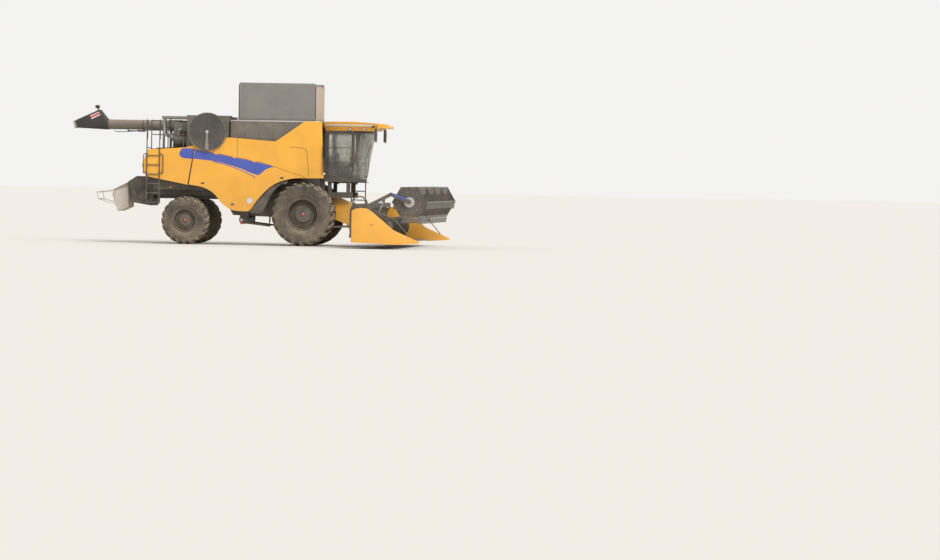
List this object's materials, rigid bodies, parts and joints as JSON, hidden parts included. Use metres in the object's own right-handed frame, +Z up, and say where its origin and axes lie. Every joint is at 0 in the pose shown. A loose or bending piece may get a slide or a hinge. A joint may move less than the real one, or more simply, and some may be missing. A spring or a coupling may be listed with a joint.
{
  "type": "combine harvester with grain header",
  "caption": "Self-propelled combine harvester with a wide reel header, open grain tank covers, a side unloading auger, steered rear wheels and a glazed cab.",
  "frame": {"origin": "on the ground under the middle of the machine's length and width", "axes": "+X forwards along the machine, its longest extent; +Y to its left; +Z up, its shortest extent"},
  "size_m": [12.19, 10.7, 5.2048],
  "materials": {
    "yellow_paint": "semi-gloss",
    "dark_paint": "satin",
    "tank_paint": "satin",
    "rubber": "matt, dusty",
    "rim_paint": "satin, dusty",
    "flap_sheet": "satin",
    "glass": "tinted",
    "black_plastic": "matt",
    "bare_steel": "worn",
    "seat_fabric": "woven",
    "lamp_glass": "clear",
    "pale_sheet": "dusty"
  },
  "bodies": {
    "machine": {"chassis_frame": "dark_paint", "front_axle": "dark_paint", "rear_axle": "dark_paint", "threshing_body": "dark_paint", "straw_hood": "dark_paint", "grain_tank": "tank_paint", "shoulder_panels": "yellow_paint", "rear_panels": "yellow_paint", "fenders": "black_plastic", "engine_deck": "tank_paint", "rails_and_ladder": "dark_paint", "engine_block": "dark_paint", "cooling_box": "tank_paint", "air_cleaner": "black_plastic", "straw_chopper": "dark_paint", "tail_vanes": "pale_sheet", "elevators": "dark_paint", "unload_riser": "yellow_paint", "cab_frame": "black_plastic", "cab_glass": "glass", "cab_roof": "yellow_paint", "cab_seat": "seat_fabric", "steering_console": "black_plastic", "cab_platform": "dark_paint", "mirrors": "black_plastic", "work_lamps": "lamp_glass"},
    "front_wheel_right": {"rim_front_right": "rim_paint", "tyre_front_right": "rubber"},
    "front_wheel_left": {"rim_front_left": "rim_paint", "tyre_front_left": "rubber"},
    "steering_right": {"knuckle_right": "dark_paint"},
    "steering_left": {"knuckle_left": "dark_paint"},
    "tie_rod": {"tie_rod": "bare_steel"},
    "rear_wheel_right": {"rim_rear_right": "rim_paint", "tyre_rear_right": "rubber"},
    "rear_wheel_left": {"rim_rear_left": "rim_paint", "tyre_rear_left": "rubber"},
    "side_panel_right": {"side_panel_right": "yellow_paint"},
    "side_panel_left": {"side_panel_left": "yellow_paint"},
    "cover_right": {"cover_right": "tank_paint"},
    "cover_left": {"cover_left": "tank_paint"},
    "flap_front": {"flap_front": "flap_sheet"},
    "flap_rear": {"flap_rear": "flap_sheet"},
    "dust_screen": {"dust_screen": "tank_paint"},
    "unloading_auger": {"unload_tube": "tank_paint", "unload_spout": "black_plastic"},
    "cab_door": {"cab_door": "black_plastic", "door_glass": "glass"},
    "header": {"feeder_house": "yellow_paint", "header_table": "dark_paint", "header_ends": "yellow_paint", "cutter_bar": "bare_steel"},
    "lift_barrels": {"lift_barrels": "dark_paint"},
    "lift_rods": {"lift_rods": "bare_steel"},
    "header_auger": {"header_auger": "dark_paint"},
    "reel_arms": {"reel_arms": "dark_paint"},
    "reel_barrels": {"reel_barrels": "dark_paint"},
    "reel_rods": {"reel_rods": "bare_steel"},
    "reel": {"reel": "dark_paint"}
  },
  "joints": [
    {"name": "front_wheel_right_turns", "type": "hinge", "parent": "machine", "child": "front_wheel_right", "pos_m": [1.75, -1.35, 1.02], "axis": [0, 1, 0], "continuous": true},
    {"name": "front_wheel_left_turns", "type": "hinge", "parent": "machine", "child": "front_wheel_left", "pos_m": [1.75, 1.35, 1.02], "axis": [0, 1, 0], "continuous": true},
    {"name": "steering", "type": "hinge", "parent": "machine", "child": "steering_right", "pos_m": [-2.04, -1.05, 0.767], "axis": [0, 0, 1], "range_deg": [-45, 45]},
    {"name": "steering_left", "type": "hinge", "parent": "machine", "child": "steering_left", "pos_m": [-2.04, 1.05, 0.767], "axis": [0, 0, 1], "range_deg": [-45, 45]},
    {"name": "tie_rod_end", "type": "hinge", "parent": "steering_right", "child": "tie_rod", "pos_m": [-2.3, -1.05, 0.767], "axis": [0, 0, 1], "range_deg": [-45, 45]},
    {"name": "rear_wheel_right_turns", "type": "hinge", "parent": "steering_right", "child": "rear_wheel_right", "pos_m": [-2.04, -1.45, 0.767], "axis": [0, 1, 0], "continuous": true},
    {"name": "rear_wheel_left_turns", "type": "hinge", "parent": "steering_left", "child": "rear_wheel_left", "pos_m": [-2.04, 1.45, 0.767], "axis": [0, 1, 0], "continuous": true},
    {"name": "side_panel_right_lifts", "type": "hinge", "parent": "machine", "child": "side_panel_right", "pos_m": [-1.77, -1.562, 3.0469], "axis": [-0.9837, 0, 0.1799], "range_deg": [0, 75]},
    {"name": "side_panel_left_lifts", "type": "hinge", "parent": "machine", "child": "side_panel_left", "pos_m": [-1.77, 1.562, 3.0469], "axis": [0.9837, 0, -0.1799], "range_deg": [0, 75]},
    {"name": "cover_right_folds", "type": "hinge", "parent": "machine", "child": "cover_right", "pos_m": [0.82, -1.19, 4.04], "axis": [-1, 0, 0], "range_deg": [0, 90]},
    {"name": "cover_left_folds", "type": "hinge", "parent": "machine", "child": "cover_left", "pos_m": [0.82, 1.19, 4.04], "axis": [1, 0, 0], "range_deg": [0, 90]},
    {"name": "flap_front_folds", "type": "hinge", "parent": "machine", "child": "flap_front", "pos_m": [2.067, 0, 4.01], "axis": [0, -1, 0], "range_deg": [0, 90]},
    {"name": "flap_rear_folds", "type": "hinge", "parent": "machine", "child": "flap_rear", "pos_m": [-0.427, 0, 4.01], "axis": [0, 1, 0], "range_deg": [0, 90]},
    {"name": "dust_screen_turns", "type": "hinge", "parent": "machine", "child": "dust_screen", "pos_m": [-1.37, -1.6, 3.605], "axis": [0, 1, 0], "continuous": true},
    {"name": "unloading_auger_swings", "type": "hinge", "parent": "machine", "child": "unloading_auger", "pos_m": [1.95, 1.59, 3.625], "axis": [0, 0, -1], "range_deg": [0, 105]},
    {"name": "cab_door_opens", "type": "hinge", "parent": "machine", "child": "cab_door", "pos_m": [2.436, 0.958, 2.9], "axis": [0, 0, 1], "range_deg": [0, 80]},
    {"name": "header_lifts", "type": "hinge", "parent": "machine", "child": "header", "pos_m": [2.2, 0, 1.395], "axis": [0, -1, 0], "range_deg": [0, 20]},
    {"name": "lift_barrels_turn", "type": "hinge", "parent": "machine", "child": "lift_barrels", "pos_m": [2, 0, 0.62], "axis": [0, -1, 0], "range_deg": [0, 20]},
    {"name": "lift_rods_slide", "type": "slide", "parent": "lift_barrels", "child": "lift_rods", "axis": [0.9998, 0, 0.0182], "range_m": [0, 0.35]},
    {"name": "header_auger_turns", "type": "hinge", "parent": "header", "child": "header_auger", "pos_m": [4.2, 0, 0.62], "axis": [0, 1, 0], "continuous": true},
    {"name": "reel_lifts", "type": "hinge", "parent": "header", "child": "reel_arms", "pos_m": [4.2, 0, 1.33], "axis": [0, -1, 0], "range_deg": [0, 25]},
    {"name": "reel_barrels_turn", "type": "hinge", "parent": "header", "child": "reel_barrels", "pos_m": [4.4, 0, 0.8], "axis": [0, -1, 0], "range_deg": [-20, 20]},
    {"name": "reel_rods_slide", "type": "slide", "parent": "reel_barrels", "child": "reel_rods", "axis": [0.4191, 0, 0.908], "range_m": [0, 0.35]},
    {"name": "reel_turns", "type": "hinge", "parent": "reel_arms", "child": "reel", "pos_m": [5.5, 0, 1.48], "axis": [0, 1, 0], "continuous": true}
  ],
  "couplings": [
    {"joint": "steering_left", "follows": "steering", "ratio": 1},
    {"joint": "tie_rod_end", "follows": "steering", "ratio": -1},
    {"joint": "lift_barrels_turn", "follows": "header_lifts", "ratio": 0.7543},
    {"joint": "lift_rods_slide", "follows": "header_lifts", "m_per_rad": 0.7412},
    {"joint": "reel_barrels_turn", "follows": "reel_lifts", "ratio": 0.4529},
    {"joint": "reel_rods_slide", "follows": "reel_lifts", "m_per_rad": 0.3692}
  ]
}
